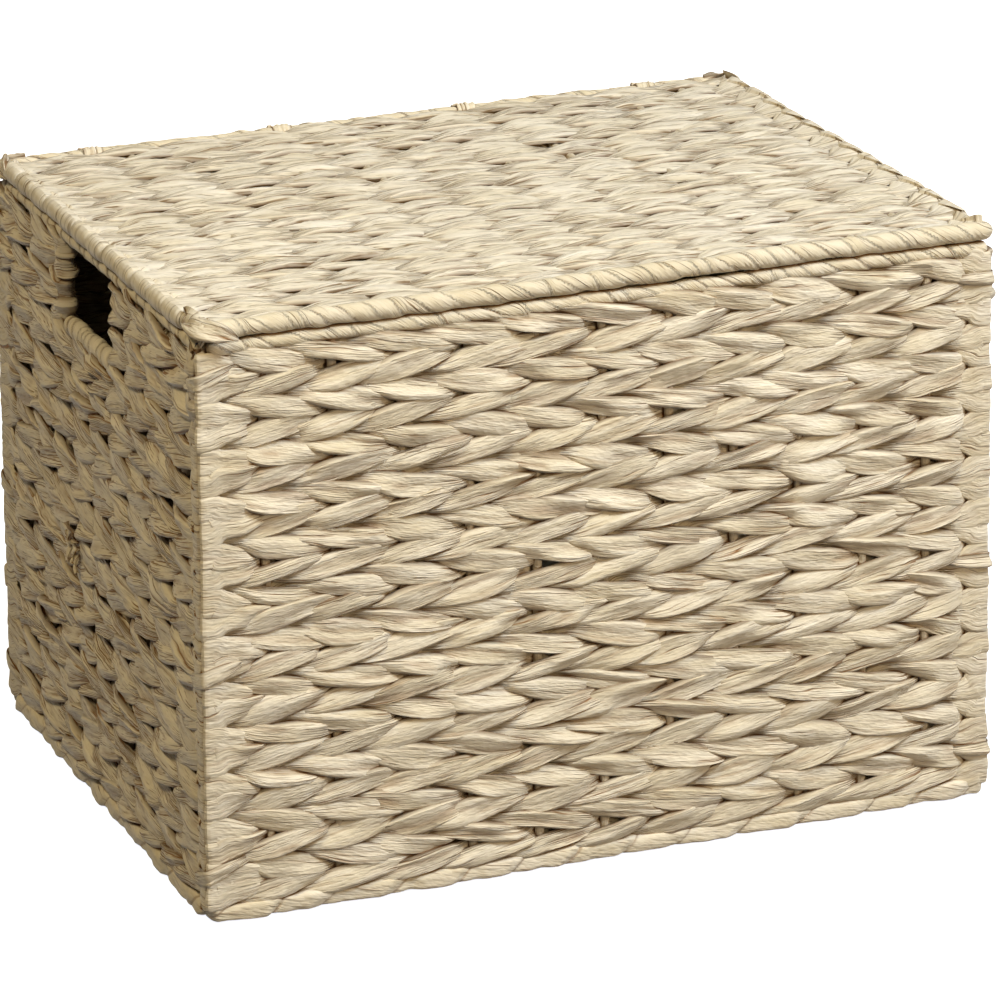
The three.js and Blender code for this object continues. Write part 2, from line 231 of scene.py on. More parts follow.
def makePaintedWire(look):
    material, tree = newMaterial("paintedSteelWire")
    place = addNode(tree, "TexCoord", {}, {}, "Object")
    scuffs = addNode(tree, "TexNoise", {}, {
        "Vector": place, "Scale": 1 / (look["scuffSize"] * mm), "Detail": 3.0,
    }, "Fac")
    scuffs = addNode(tree, "MapRange", {}, {"Value": scuffs, "From Min": 0.55, "From Max": 0.75}, "Result")
    colour = addNode(tree, "Mix", {"data_type": "RGBA"}, {
        "Factor": scuffs, "A": linear(look["paint"]), "B": linear(look["scuff"]),
    }, "Result")
    shader = addNode(tree, "BsdfPrincipled", {}, {
        "Base Color": colour, "Roughness": look["roughness"], "IOR": look["ior"],
    }, "BSDF")
    addNode(tree, "OutputMaterial", {}, {"Surface": shader})
    return material


wireMaterial = makePaintedWire(wirePaint)
for nodeName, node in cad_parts.items():
    if nodeName.endswith("wire_frame"):
        node.data.materials.clear()
        node.data.materials.append(wireMaterial)


# The trunk's own places, from the frame, in mm
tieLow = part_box("corner_tie_front_left_low")[0]
halfWidth = -tieLow.x / mm
halfDepth = -tieLow.y / mm
frontLow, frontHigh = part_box("front_wall_weave")
weaveBottom = frontLow.z / mm
weaveTop = frontHigh.z / mm
wallMiddle = halfDepth + (frontLow.y + frontHigh.y) / 2 / mm  # how deep in a wall its stakes stand
sillLow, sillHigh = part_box("left_grip_wrap")
gripFront = sillLow.y / mm
gripBack = sillHigh.y / mm
gripSill = sillHigh.z / mm
sillMiddle = (sillLow.z + sillHigh.z) / 2 / mm
rimLow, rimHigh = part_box("front_top_rim_wrap")
rimMiddle = (rimLow.z + rimHigh.z) / 2 / mm
rimRadius = (rimHigh.z - rimLow.z) / 2 / mm
lidRimLow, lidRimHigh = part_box("lid_front_edge_wrap")
lidMiddle = (lidRimLow.z + lidRimHigh.z) / 2 / mm
lidRimRadius = (lidRimHigh.z - lidRimLow.z) / 2 / mm
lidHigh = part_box("lid_weave")[1]
baseLow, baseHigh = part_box("base_weave")
baseMiddle = (baseLow.z + baseHigh.z) / 2 / mm

stakePlaces = {
    "endInset": 12,
    "turnInset": 7,  # where the strands turn, nearer the corner than the last stake
    "across": 12,  # spaces over the width
    "jambCover": 5,
    "aheadOfGrip": 4,
    "underGrip": 3,
    "behindGrip": 3,
}
endX = halfWidth - stakePlaces["endInset"]
endY = halfDepth - stakePlaces["endInset"]
acrossX = np.linspace(-halfWidth, halfWidth, stakePlaces["across"] + 1)[1:-1]
frontJamb = gripFront - stakePlaces["jambCover"]
backJamb = gripBack + stakePlaces["jambCover"]
aheadY = np.linspace(-halfDepth, frontJamb, stakePlaces["aheadOfGrip"] + 1)[1:]
underY = np.linspace(frontJamb, backJamb, stakePlaces["underGrip"] + 1)[1:-1]
behindY = np.linspace(backJamb, halfDepth, stakePlaces["behindGrip"] + 1)[:-1]
frontStakes = np.concatenate([[-endX], acrossX, [endX]])
sideStakes = np.concatenate([[-endY], aheadY, underY, behindY, [endY]])

# Each panel has its rows along a, stacked along c, and faces out along n
panels = {
    "front": {"origin": (0, -(halfDepth - wallMiddle), 0), "a": (1, 0, 0), "c": (0, 0, 1), "n": (0, -1, 0)},
    "right": {"origin": (halfWidth - wallMiddle, 0, 0), "a": (0, 1, 0), "c": (0, 0, 1), "n": (1, 0, 0)},
    "back": {"origin": (0, halfDepth - wallMiddle, 0), "a": (-1, 0, 0), "c": (0, 0, 1), "n": (0, 1, 0)},
    "left": {"origin": (-(halfWidth - wallMiddle), 0, 0), "a": (0, -1, 0), "c": (0, 0, 1), "n": (-1, 0, 0)},
    "lid": {"origin": (0, 0, lidMiddle), "a": (1, 0, 0), "c": (0, 1, 0), "n": (0, 0, 1)},
    "base": {"origin": (0, 0, baseMiddle), "a": (1, 0, 0), "c": (0, -1, 0), "n": (0, 0, -1)},
}


def inPanel(panel, a, c, n):
    axes = [np.asarray(panel[key], float) for key in "acn"]
    places = [np.asarray(value)[..., None] for value in np.broadcast_arrays(a, c, n)]
    return np.asarray(panel["origin"], float) + sum(place * axis for place, axis in zip(places, axes))


def smoothNoise(rng, count, every):
    # smooth values from -1 to 1 that close on themselves
    knots = max(4, int(round(count / every)))
    values = rng.uniform(-1, 1, knots)
    x = np.arange(count) * knots / count
    i = np.floor(x).astype(int) % knots
    t = smoothStep(x - np.floor(x))
    return values[i] * (1 - t) + values[(i + 1) % knots] * t


def smoothStep(x):
    x = np.clip(x, 0, 1)
    return x * x * (3 - 2 * x)


def unit(v):
    return v / np.maximum(np.linalg.norm(v, axis=-1, keepdims=True), 1e-9)


# A flat strand's section, and the creases it keeps from being twisted and opened again
section = {
    "frontPoints": 17,  # across the outward face
    "backPoints": 7,
    "edgeCrowding": 0.35,  # how far the points gather at the edges
    "flatness": 5.5,
    "edgeRound": 0.55,
    "creases": 6,
    "creaseAngle": 1.2,  # mm of rise over half a strand's width
    "creaseLength": 26,  # mm
    "creaseWidth": 0.12,  # of half the strand's width, as are the next two
    "creaseSpan": 0.9,
    "creaseWander": 0.3,
    "wanderLength": 45,
    "gatheredRise": 0.6,  # how much sharper they are where it is drawn narrow
    "crinkle": 0.12,  # mm
    "crinkleLength": (4, 12),  # mm
    "crinkleLean": 4,  # how far a wave leans across the strand, in radians
    "wrinkledLength": 30,
    "edgeFrom": 0.8,  # where the painted shade along the edge begins
    "edgeWidth": 0.16,
    "sharpAngle": 30,  # degrees, above which an edge is left sharp
}


def strandSurface(rng, centre, wide, halfWidth, halfThick, closed, along, tuck, tint,
                  roll=0.0, foldScale=1.0, ringStep=2.5, edgeShade=1.0, openWidth=None):
    # one strand as a grid of points, rings x round, in mm, with what its material reads
    rings = len(centre)
    halfWidth, halfThick, tuck, tint, roll, foldScale, edgeShade = [
        np.broadcast_to(value, rings)[:, None]
        for value in (halfWidth, halfThick, tuck, tint, roll, foldScale, edgeShade)]
    if openWidth is None:
        openWidth = halfWidth.max()
    if closed:
        tangent = unit(np.roll(centre, -1, axis=0) - np.roll(centre, 1, axis=0))
    else:
        tangent = unit(np.gradient(centre, axis=0))
    wide = unit(wide - (wide * tangent).sum(1, keepdims=True) * tangent)
    thick = np.cross(tangent, wide)

    even = [np.linspace(-1, 1, section[key]) for key in ("frontPoints", "backPoints")]
    front, back = [v + section["edgeCrowding"] * (np.sin(v * math.pi / 2) - v) for v in even]
    u = np.concatenate([front, back[::-1][1:-1]])
    side = np.concatenate([np.ones(len(front)), -np.ones(len(back) - 2)])
    crown = (1 - np.abs(u) ** section["flatness"]) ** section["edgeRound"]
    inner = 1 - u**4
    narrow = 1 - np.clip(halfWidth / openWidth, 0, 1)
    sharper = 1 + section["gatheredRise"] * narrow

    facets = np.zeros((rings, len(u)))
    valley = np.zeros((rings, len(u)))
    for face in (1, -1):
        on = side == face
        for k in range(section["creases"]):
            wander = section["creaseWander"] * smoothNoise(rng, rings, section["wanderLength"] / ringStep)
            place = section["creaseSpan"] * (2 * (k + 0.5) / section["creases"] - 1) + wander
            bend = smoothNoise(rng, rings, section["creaseLength"] / ringStep)
            bend = np.clip(1.6 * bend + (0.35 if k % 2 else -0.35), -1, 1)[:, None] * sharper
            gap = np.abs(u[None, on] - place[:, None])
            facets[:, on] += section["creaseAngle"] * bend * (gap - 0.5)
            valley[:, on] += bend * np.clip(1 - gap / section["creaseWidth"], 0, 1)
    crinkle = np.zeros((rings, len(u)))
    wrinkled = smoothNoise(rng, rings, section["wrinkledLength"] / ringStep)
    wrinkled = 1 + 2.5 * np.clip(wrinkled - 0.5, 0, 0.5)[:, None]
    for _ in range(3):
        waveLength = rng.uniform(*section["crinkleLength"])
        lean = rng.uniform(-1, 1) * section["crinkleLean"]
        crinkle += np.sin(tau * along[:, None] / waveLength + lean * u[None, :] + rng.uniform(0, tau)) / 1.7
    creased = facets + section["crinkle"] * crinkle * wrinkled
    width = halfWidth * u[None, :]
    height = side * (crown * halfThick + inner * foldScale * creased)
    across = width * np.cos(roll) - height * np.sin(roll)
    out = width * np.sin(roll) + height * np.cos(roll)
    points = centre[:, None, :] + across[..., None] * wide[:, None, :] + out[..., None] * thick[:, None, :]

    # painted shade along the edges and in the folds' valleys, and a painted highlight on their ridges
    edge = np.clip((np.abs(u) - section["edgeFrom"]) / section["edgeWidth"], 0, 1) ** 1.5 * edgeShade
    fold = np.clip(1.3 * valley * inner * np.sqrt(foldScale), -1, 1)
    tuck = np.clip(tuck + edge, 0, 1)
    return asGrid(rng, points, along, halfWidth.max() * u, tuck, tint, fold, narrow, closed)


def asGrid(rng, points, along, across, tuck, tint, fold, gathered, closed):
    # points with what the material reads: the place on the strand in mm, the painted shade where it is
    # tucked under, how yellow it is, the painted shade and highlight of its folds, and how much it is
    # gathered
    grain = np.empty(points.shape)
    grain[..., 0] = along[:, None]
    grain[..., 1] = across
    grain[..., 2] = rng.uniform(0, 50)
    shadeAndTint = np.empty(points.shape)
    shadeAndTint[..., 0] = tuck
    shadeAndTint[..., 1] = tint
    shadeAndTint[..., 2] = fold
    return {"points": points, "grain": grain, "shadeAndTint": shadeAndTint, "closed": closed,
            "gathered": np.broadcast_to(gathered, points.shape[:2])}


def tube(rng, centre, wide, radius, along, tint=0.5, tuck=0.0):
    # a round strand as the same kind of grid, with a radius for each point
    tangent = unit(np.gradient(centre, axis=0))
    wide = unit(wide - (wide * tangent).sum(1, keepdims=True) * tangent)
    thick = np.cross(tangent, wide)
    turn = np.arange(radius.shape[1]) * tau / radius.shape[1]
    points = (centre[:, None, :] + (radius * np.cos(turn))[..., None] * wide[:, None, :]
              + (radius * np.sin(turn))[..., None] * thick[:, None, :])
    return asGrid(rng, points, along, turn * radius.mean(), tuck, tint, 0.0, 0.0, False)


# The body's weave spreads towards the bottom and is pressed flat where it stands
standing = {"spread": 0.013, "lowest": 0.2}  # share of its width, mm above the floor


def meshFrom(name, grids, material, body, replaced=()):
    # joins grids of points into one object, with a bake map of strips laid side by side
    quads, caps, strips = [], [], []
    first = 0
    for grid in grids:
        rings, around = grid["points"].shape[:2]
        spans = rings if grid["closed"] else rings - 1
        i = np.arange(spans)[:, None]
        j = np.arange(around)[None, :]
        nextRing = (i + 1) % rings
        nextPoint = (j + 1) % around
        quad = np.stack(np.broadcast_arrays(
            i * around + j, i * around + nextPoint,
            nextRing * around + nextPoint, nextRing * around + j), -1)
        quads.append(first + quad.reshape(-1, 4)[:, ::-1])
        strips.append((spans, around))
        if not grid["closed"]:
            caps.append(first + np.arange(around))
            caps.append(first + (rings - 1) * around + np.arange(around)[::-1])
        first += rings * around
    points = np.concatenate([grid["points"].reshape(-1, 3) for grid in grids])
    if body == "trunk_body":
        points[:, 2] = standing["lowest"] + np.logaddexp(0, points[:, 2] - standing["lowest"])
        points[:, :2] *= 1 + standing["spread"] * np.clip(1 - points[:, 2:] / weaveTop, 0, 1)
    points *= mm
    quads = np.concatenate(quads)

    mesh = bpy.data.meshes.new(name)
    mesh.vertices.add(len(points))
    mesh.vertices.foreach_set("co", points.astype(np.float32).ravel())
    corners = np.concatenate([quads.ravel()] + caps)
    mesh.loops.add(len(corners))
    mesh.loops.foreach_set("vertex_index", corners.astype(np.int32))
    counts = np.concatenate([np.full(len(quads), 4), [len(cap) for cap in caps]]).astype(np.int32)
    mesh.polygons.add(len(counts))
    mesh.polygons.foreach_set("loop_start", np.cumsum(counts, dtype=np.int32) - counts)

    layer = mesh.uv_layers.new(name="OFBake")
    layer.data.foreach_set("uv", bakeMap(strips, caps).astype(np.float32).ravel())
    for key, kind, field in (("grain", "FLOAT_VECTOR", "vector"), ("shadeAndTint", "FLOAT_VECTOR", "vector"),
                             ("gathered", "FLOAT", "value")):
        values = np.concatenate([grid[key].ravel() for grid in grids])
        mesh.attributes.new(key, kind, "POINT").data.foreach_set(field, values.astype(np.float32))
    mesh.update(calc_edges=True)
    mesh.validate()
    mesh.polygons.foreach_set("use_smooth", np.ones(len(mesh.polygons), bool))
    mesh.set_sharp_from_angle(angle=math.radians(section["sharpAngle"]))
    mesh.materials.append(material)
    obj = bpy.data.objects.new(name, mesh)
    bpy.context.scene.collection.objects.link(obj)
    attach(obj, body)
    if replaced:
        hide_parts(*replaced)
    return obj


def bakeMap(strips, caps):
    # each strand is cut into lengths that lie in lanes across the map
    total = sum(spans for spans, around in strips)
    widest = max(around for spans, around in strips)
    laneRings = max(8, int(math.ceil(math.sqrt(total * widest * 0.5))))
    lanes = sum(int(math.ceil(spans / laneRings)) for spans, around in strips) + (1 if caps else 0)
    margin = 0.04  # of a lane
    lane = 0
    uvs = []
    for spans, around in strips:
        i = np.arange(spans)
        own = i // laneRings
        left = (i - own * laneRings) / laneRings
        right = left + 1 / laneRings
        low = np.arange(around) / around
        high = low + 1 / around
        base = (lane + own)[:, None] + margin
        bottom = (base + (1 - 2 * margin) * low[None, :]) / lanes
        top = (base + (1 - 2 * margin) * high[None, :]) / lanes
        left, right = [np.broadcast_to(value[:, None], bottom.shape) for value in (left, right)]
        corners = ((right, bottom), (right, top), (left, top), (left, bottom))
        uvs.append(np.stack([np.stack(corner, -1) for corner in corners], 2).reshape(-1, 2))
        lane += int(math.ceil(spans / laneRings))
    for number, cap in enumerate(caps):
        turn = np.arange(len(cap)) * tau / len(cap)
        middle = (number + 0.5) / len(caps)
        size = 0.4 / max(len(caps), lanes)
        uvs.append(np.stack([middle + size * np.cos(turn), (lane + 0.5) / lanes + size * np.sin(turn)], -1))
    return np.concatenate(uvs)


def weaveFrom(stakes, halfLength):
    # the strands come round the last stakes close to the corners
    end = halfLength - stakePlaces["turnInset"]
    return np.concatenate([[-end], stakes[1:-1], [end]])


# Countered twining: two strands of a row change places between stakes, and every other row
# leans the other way. Each profile is (share of a space past the stake, share of the full value)
# and repeats every two spaces
wallTwining = {
    "swing": 4.0,  # mm, from the stakes' plane to a strand's middle
    "swingProfile": [(-0.75, -0.8), (-0.62, -0.35), (-0.48, 0.12), (-0.32, 0.52), (-0.12, 0.88),
                     (0.12, 1.0), (0.38, 0.93), (0.6, 0.66), (0.75, 0.3), (0.86, -0.35),
                     (0.97, -0.95), (1.1, -1.0)],
    "lean": 4.6,  # mm up or down where the strands cross
    "leanProfile": [(-0.6, 1.0), (-0.5, 0.93), (0.08, 0.0), (0.7, -0.9), (0.82, -1.0), (0.93, -0.75),
                    (1.1, 0.0), (1.28, 0.8)],
    "halfWidth": 7.1,
    "crossWidth": 4.3,
    "widthProfile": [(-0.62, 0.0), (-0.45, 0.25), (-0.25, 0.7), (-0.05, 0.97), (0.2, 1.0), (0.45, 0.85),
                     (0.65, 0.5), (0.82, 0.12), (1.0, 0.7), (1.15, 0.9), (1.28, 0.5)],
    "halfThick": 2.1,
    "crossThick": 2.9,
    "rings": 18,  # per space
    "turnWidth": 8.5,
    "turnThick": 1.5,
    "turnReach": 12,  # mm from the end over which it takes on the turn's width
    "turnSmooth": 0.3,  # share of the creases left on a turn
    "smoothReach": 26,
    "turnShade": 0.0,  # painted shade on a turn
    "tuckShade": 0.55,  # painted shade where it goes under
    "tuckSwing": -0.25,  # where that painted shade is darkest, and how far round that
    "tuckSpan": 0.4,
    "jambWidth": 6.6,
    "folds": 1.0,
    "unevenWidth": 0.15,
    "unevenPlace": 1.0,
    "unevenPlaceLength": 1.7,  # spaces
    "unevenUp": 0.45,
    "unevenOut": 0.4,
    "unevenRoll": 0.13,
    "unevenStart": 0.11,  # share of a space
    "unevenTurn": 0.4,
    "unevenTurnWidth": 0.08,
}
sideTwining = dict(wallTwining, crossWidth=4.7, halfWidth=7.4, folds=1.35, unevenRoll=0.2, unevenWidth=0.18)
lidTwining = dict(
    wallTwining, swing=2.3, halfWidth=7.9, crossWidth=3.6, halfThick=1.6, crossThick=2.3, folds=0.7,
    swingProfile=[(-0.75, -0.85), (-0.5, -0.15), (-0.25, 0.55), (0.0, 0.97), (0.2, 0.95), (0.45, 0.5),
                  (0.72, -0.2), (0.95, -0.95), (1.1, -1.0)],
    turnWidth=9.6, turnThick=2.0, turnSmooth=0.25, tuckShade=0.4,
    unevenWidth=0.1, unevenPlace=0.8, unevenRoll=0.07, unevenStart=0.1)

# How a strand turns back at a corner of the trunk: (inset from the corner, distance out), front to back
cornerTurn = [(12.2, 4.0), (10.5, 4.15), (9.0, 4.25), (7.5, 4.32), (6.2, 4.36), (5.2, 4.4), (4.4, 4.33),
              (3.85, 4.1), (3.65, 3.75), (3.8, 3.35), (4.3, 2.9), (5.2, 2.2), (6.3, 1.3), (7.6, 0.2),
              (8.8, -1.0), (10.0, -2.2), (11.0, -3.0), (12.0, -3.6)]


def roundTurn(inset, radius, steps=17):
    angles = np.linspace(math.pi / 2, -math.pi / 2, steps)
    return [(inset - radius * math.cos(t), radius * math.sin(t)) for t in angles]


def profile(x, points, period=2.0):
    # a smooth curve through the points that repeats
    points = np.array(sorted((p % period, v) for p, v in points))
    px = np.concatenate([points[-2:, 0] - period, points[:, 0], points[:2, 0] + period])
    pv = np.concatenate([points[-2:, 1], points[:, 1], points[:2, 1]])
    slope = np.gradient(pv, px)
    x = np.mod(x, period)
    i = np.clip(np.searchsorted(px, x, side="right") - 1, 0, len(px) - 2)
    gap = px[i + 1] - px[i]
    t = (x - px[i]) / gap
    return ((1 + 2 * t) * (1 - t) ** 2 * pv[i] + t * (1 - t) ** 2 * gap * slope[i]
            + t * t * (3 - 2 * t) * pv[i + 1] + t * t * (t - 1) * gap * slope[i + 1])


def eased(values):
    return 0.25 * np.roll(values, 1) + 0.5 * values + 0.25 * np.roll(values, -1)


def pressUnder(sill, a, c, wide):
    # strands under a sill are pushed down by it and pressed narrower
    fromStart = a - sill["start"] + sill["reach"]
    toEnd = sill["end"] + sill["reach"] - a
    down = sill["down"] * smoothStep(fromStart / sill["ease"]) * smoothStep(toEnd / sill["ease"])
    return c - down, wide * (1 - sill["narrower"] * down)


def twinedRow(rng, panel, stakes, ends, turns, middle, leanSign, look, sill=None, turnWidths=None):
    # one row: out along the panel, round the last stake, back again and round the first
    if turnWidths is None:
        turnWidths = (look["turnWidth"], look["turnWidth"])
    passFrom = ends[0] + turns[0][0][0]
    passTo = ends[1] - turns[1][0][0]
    count = int(round(look["rings"] * (len(stakes) - 1)))
    last = len(stakes) - 1
    stakeNumbers = np.arange(-1, last + 2)
    a = np.linspace(passFrom, passTo, count)
    place = np.interp(a, stakes, np.arange(len(stakes)))
    inner = smoothStep(place / 0.6) * smoothStep((last - place) / 0.6)
    drift = look["unevenPlace"] * smoothNoise(rng, count, look["rings"] * look["unevenPlaceLength"]) * inner
    fromEnd = np.minimum(a - passFrom, passTo - a)
    off = smoothStep(fromEnd / look["turnReach"])
    away = smoothStep(fromEnd / look["smoothReach"])
    turnWidth = np.where(a < (passFrom + passTo) / 2, *turnWidths)

    def strand(start):
        uneven = rng.normal(0, 1, (5, len(stakeNumbers))).clip(-2, 2)
        tints = rng.uniform(0, 1, len(stakeNumbers))
        out, up, wider, rolled, ahead = [
            np.interp(place, stakeNumbers, values) * inner for values in uneven]
        past = place + start + look["unevenStart"] * ahead
        angle = math.pi * (place + start)
        swing = profile(past, look["swingProfile"]) * inner + np.cos(angle) * (1 - inner)
        slant = profile(past, look["leanProfile"]) * inner - np.sin(angle) * (1 - inner)
        opened = profile(past, look["widthProfile"]) * inner + (1 - inner)
        full = look["halfWidth"] * (1 + look["unevenWidth"] * wider)
        wide = look["crossWidth"] + (full - look["crossWidth"]) * opened
        thick = look["crossThick"] + (look["halfThick"] - look["crossThick"]) * opened
        # painted shade where it passes under the other strand
        under = 1 - smoothStep(np.abs(swing - look["tuckSwing"]) / look["tuckSpan"])
        return [
            a,
            middle + drift + leanSign * look["lean"] * slant + look["unevenUp"] * up,
            look["swing"] * swing + look["unevenOut"] * out * np.abs(swing),
            turnWidth + (wide - turnWidth) * off,
            look["turnThick"] + (thick - look["turnThick"]) * off,
            look["unevenRoll"] * rolled,
            look["tuckShade"] * under * away,
            np.interp(place, stakeNumbers, tints),
            look["turnSmooth"] + (1 - look["turnSmooth"]) * away,
        ]

    def turn(points, end, inward, backFirst, width):
        # the passes reach the first and last places themselves
        inset, out = np.array(points[-2:0:-1] if backFirst else points[1:-1], float).T
        inset = inset + look["unevenTurn"] * rng.normal()
        width = width * (1 + look["unevenTurnWidth"] * rng.normal())
        even = np.ones(len(inset))
        return [end + inward * inset, middle * even, out, width * even, look["turnThick"] * even, 0 * even,
                look["turnShade"] * even, rng.uniform(0, 1) * even, look["turnSmooth"] * even]

    going = strand(0)
    coming = strand(1)
    endsBack = last % 2 == 1
    parts = [
        going,
        turn(turns[1], ends[1], -1, endsBack, turnWidths[1]),
        [values[::-1] for values in coming],
        turn(turns[0], ends[0], 1, True, turnWidths[0]),
    ]
    a, c, n, wide, thick, roll, tuck, tint, rough = [np.concatenate(values) for values in zip(*parts)]
    if sill:
        c, wide = pressUnder(sill, a, c, wide)
    wide, thick, tuck = [eased(eased(values)) for values in (wide, thick, tuck)]
    centre = inPanel(panel, a, eased(c), n)
    upward = np.broadcast_to(np.asarray(panel["c"], float), centre.shape)
    along = a + rng.uniform(0, 4000)
    return strandSurface(rng, centre, upward, wide, thick, True, along, tuck, tint, roll,
                         foldScale=rough * look["folds"], edgeShade=rough, openWidth=look["halfWidth"])


rowsPerPiece = 9


def weavePieces(side, rows, body, replaced, material):
    pieces = int(math.ceil(len(rows) / rowsPerPiece))
    for number, group in enumerate(np.array_split(np.arange(len(rows)), pieces)):
        grids = [grid for i in group for grid in rows[i]]
        meshFrom(f"{side}_twined_rows_{number + 1}", grids, material, body, replaced)
    print(side, "woven:", len(rows), "rows")


# The front and back strands lap round the corners, and those of the sides end behind them.
# The strands beside a hand hole turn back at its jambs, and its sill presses the rows below it
underRim = 1.5  # mm, how far the top row is pushed up under the rim
handHole = {
    "sill": gripSill,
    "rowsPressed": 3,
    "down": 4.0,  # mm that the first row under the sill is pushed down
    "narrower": 0.06,  # per mm
    "reach": 8,  # mm past the hole's ends
    "ease": 12,
    "jamb": roundTurn(5.0, 3.4),
    # the jamb turns get painted shade, as they stand in the hole's shade
    "turns": {"turnSmooth": 1.2, "turnThick": 2.0, "turnShade": 0.3},
}
frontWall = {"halfLength": halfWidth, "rows": 24, "cornerShift": -1.4, "look": wallTwining,
             "material": paperCordMaterial, "hole": None}
sideWall = {"halfLength": halfDepth, "rows": 26, "cornerShift": 1.6, "look": sideTwining,
            "material": sideCordMaterial}
walls = {
    "front": dict(frontWall, seed=237, stakes=frontStakes),
    "back": dict(frontWall, seed=226, stakes=-frontStakes[::-1]),
    "right": dict(sideWall, seed=249, stakes=sideStakes,
                  hole=dict(handHole, start=gripFront, end=gripBack)),
    "left": dict(sideWall, seed=236, stakes=-sideStakes[::-1],
                 hole=dict(handHole, start=-gripBack, end=-gripFront)),
}


def weaveWall(side, wall):
    rng = np.random.default_rng(wall["seed"])
    panel = panels[side]
    halfLength = wall["halfLength"]
    hole = wall["hole"]
    look = wall["look"]
    jambLook = dict(look, **hole["turns"]) if hole else look
    stakes = weaveFrom(wall["stakes"], halfLength)
    top = weaveTop + underRim
    pitch = (top - weaveBottom) / wall["rows"]
    corner = [(inset + wall["cornerShift"], out) for inset, out in cornerTurn]
    rows = []
    for row in range(wall["rows"]):
        middle = top - (row + 0.5) * pitch
        leanSign = 1 if row % 2 == 0 else -1
        if hole and middle > hole["sill"]:
            rows.append([
                twinedRow(rng, panel, stakes[stakes < hole["start"]], (-halfLength, hole["start"]),
                          (corner, hole["jamb"]), middle, leanSign, jambLook,
                          turnWidths=(look["turnWidth"], look["jambWidth"])),
                twinedRow(rng, panel, stakes[stakes > hole["end"]], (hole["end"], halfLength),
                          (hole["jamb"], corner), middle, leanSign, jambLook,
                          turnWidths=(look["jambWidth"], look["turnWidth"])),
            ])
            continue
        sill = None
        if hole and hole["sill"] - middle < hole["rowsPressed"] * pitch:
            share = 1 - (hole["sill"] - middle) / (hole["rowsPressed"] * pitch)
            sill = dict(hole, down=hole["down"] * share)
        rows.append([twinedRow(rng, panel, stakes, (-halfLength, halfLength), (corner, corner), middle,
                               leanSign, look, sill)])
    weavePieces(side, rows, "trunk_body", [f"{side}_wall_weave"], wall["material"])


for side, wall in walls.items():
    weaveWall(side, wall)


# The lid and the base are woven the same way, flatter, and turn back round their outer rods
flats = {
    "lid": {
        "halfLength": halfWidth,
        "halfStack": lidHigh.y / mm,
        "rows": 26,
        "seed": 93,
        "stake": 6.5,  # mm, the outer rods from the edge
        "radius": 4.2,
        "cornerCut": 4,  # how much shorter the first and last rows are
        "cutRows": 1.5,
        "spreadTurns": 0.4,  # how much every other turn spreads over the next one
        "underTurns": 1.0,  # mm that the others lie lower
        "look": lidTwining,
        "material": lidCordMaterial,
        "body": "lid",
        "replaces": ["lid_weave", "lid_left_edge_wrap", "lid_right_edge_wrap"],
    },
    "base": {
        "halfLength": baseHigh.x / mm,
        "halfStack": baseHigh.y / mm,
        "rows": 26,
        "seed": 124,
        "stake": 4,
        "radius": 2.6,
        "cornerCut": 3,
        "cutRows": 1.5,
        "spreadTurns": 0.1,
        "underTurns": 0.2,
        "look": dict(lidTwining, swing=2.0, halfThick=1.5, crossThick=1.8),
        "material": paperCordMaterial,
        "body": "trunk_body",
        "replaces": ["base_weave"],
    },
}


def weaveFlat(side, flat):
    rng = np.random.default_rng(flat["seed"])
    look = flat["look"]
    pitch = 2 * flat["halfStack"] / flat["rows"]
    lastStake = flat["halfLength"] - flat["stake"]
    stakes = np.concatenate([[-lastStake], acrossX, [lastStake]])
    rows = []
    for row in range(flat["rows"]):
        middle = flat["halfStack"] - (row + 0.5) * pitch
        over = row % 2 == 1
        fromEdge = min(row, flat["rows"] - 1 - row)
        end = flat["halfLength"] - flat["cornerCut"] * max(0, 1 - fromEdge / flat["cutRows"]) ** 2
        share = flat["spreadTurns"] if over else -flat["spreadTurns"]
        turn = roundTurn(flat["stake"], flat["radius"] - (0 if over else flat["underTurns"]))
        rowLook = dict(look, turnWidth=look["turnWidth"] * (1 + share),
                       turnThick=look["turnThick"] * (1 + share / 2))
        rows.append([twinedRow(rng, panels[side], stakes, (-end, end), (turn, turn), middle,
                               -1 if over else 1, rowLook)])
    weavePieces(side, rows, flat["body"], flat["replaces"], flat["material"])


for side, flat in flats.items():
    weaveFlat(side, flat)


# Cord over the stakes: the same paper, twisted in two plies
# its tuck is painted shade, as it lies deep in the weave
stakeCord = {"radius": 2.5, "ply": 0.25, "twist": 9, "below": 3, "tuck": 0.3, "tint": 0.3,
             "ringStep": 2.5, "around": 10}


def cordOverStake(rng, panel, a, fromC, toC):
    c = np.arange(fromC, toC, stakeCord["ringStep"])
    turn = np.arange(stakeCord["around"]) * tau / stakeCord["around"]
    ply = stakeCord["ply"] * np.abs(np.sin(turn[None, :] + tau * c[:, None] / stakeCord["twist"] / 2))
    radius = stakeCord["radius"] + ply
    centre = inPanel(panel, a, c, 0.0)
    across = np.broadcast_to(np.asarray(panel["a"], float), centre.shape)
    grid = tube(rng, centre, across, radius, c, stakeCord["tint"], stakeCord["tuck"])
    grid["grain"] = grid["grain"][..., [1, 0, 2]]  # wound round it, so its creases are ribs
    return grid


def addStakeCords():
    rng = np.random.default_rng(11)
    low = weaveBottom - stakeCord["below"]
    for side in ("front", "back", "left", "right"):
        grids = []
        for a in walls[side]["stakes"]:
            y = -a if side == "left" else a
            short = side in ("left", "right") and gripFront < y < gripBack
            grids.append(cordOverStake(rng, panels[side], a, low, sillMiddle if short else rimMiddle))
        meshFrom(f"{side}_stake_cords", grids, paperCordMaterial, "trunk_body")
    for side, past in (("lid", 3), ("base", 1)):
        reach = flats[side]["halfStack"] + past
        grids = [cordOverStake(rng, panels[side], a, -reach, reach) for a in acrossX]
        meshFrom(f"{side}_stake_cords", grids, paperCordMaterial, flats[side]["body"])
    print("stake cords wound")


addStakeCords()
